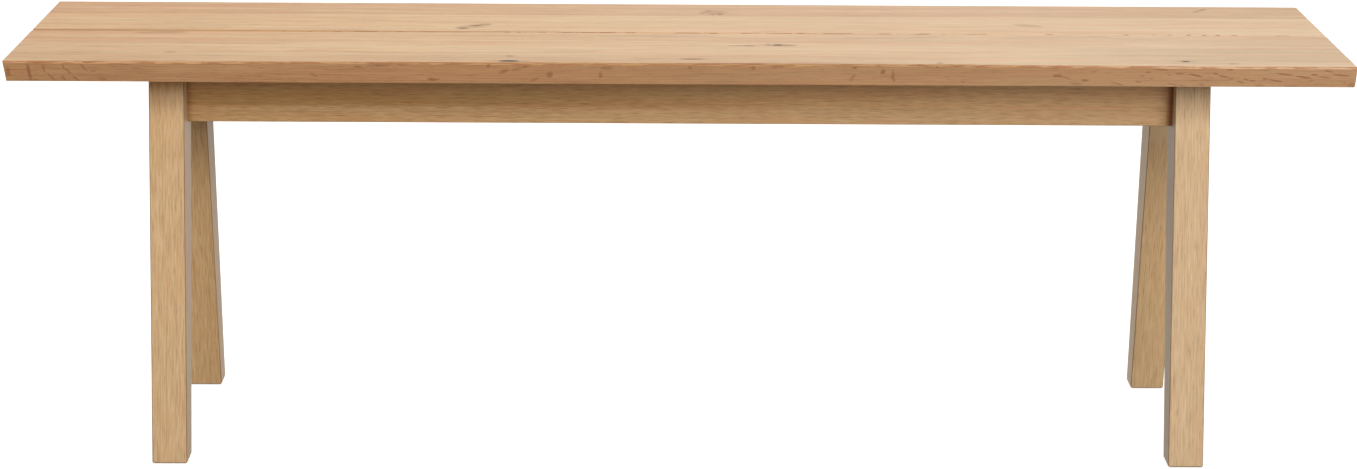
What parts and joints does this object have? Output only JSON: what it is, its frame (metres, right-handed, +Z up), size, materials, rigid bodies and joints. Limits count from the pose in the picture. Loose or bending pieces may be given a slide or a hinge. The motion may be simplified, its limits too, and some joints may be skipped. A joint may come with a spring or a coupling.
{
  "type": "dining bench",
  "caption": "Backless oak dining bench: a thick plank seat with a V-groove along its middle, aprons, and tapered legs raked to the front and back.",
  "frame": {"origin": "on the floor, under the middle of the seat", "axes": "+X along the bench to its right, +Y to its back, +Z up"},
  "size_m": [1.5, 0.38, 0.47],
  "materials": {
    "seat_oak": "satin lacquer",
    "frame_oak": "satin lacquer",
    "beech": "bare, unfinished",
    "bracket_steel": "zinc plated",
    "fastener_steel": "zinc plated",
    "glide_nylon": "moulded"
  },
  "bodies": {
    "root": {"rear_outer_stave": "seat_oak", "rear_inner_stave": "seat_oak", "front_inner_stave": "seat_oak", "front_outer_stave": "seat_oak", "front_apron": "frame_oak", "rear_apron": "frame_oak", "left_end_rail": "frame_oak", "right_end_rail": "frame_oak", "middle_rail": "frame_oak", "front_left_leg": "frame_oak", "front_right_leg": "frame_oak", "rear_left_leg": "frame_oak", "rear_right_leg": "frame_oak", "centre_joint_biscuits": "beech", "apron_dowels": "beech", "end_rail_dowels": "beech", "middle_rail_dowels": "beech", "front_left_corner_bracket": "bracket_steel", "front_right_corner_bracket": "bracket_steel", "rear_left_corner_bracket": "bracket_steel", "rear_right_corner_bracket": "bracket_steel", "seat_angle_brackets": "bracket_steel", "hanger_bolts": "fastener_steel", "bolt_washers": "fastener_steel", "bolt_nuts": "fastener_steel", "corner_bracket_screws": "fastener_steel", "angle_bracket_screws": "fastener_steel", "seat_screws": "fastener_steel", "glide_nails": "fastener_steel", "foot_glides": "glide_nylon"}
  },
  "joints": []
}
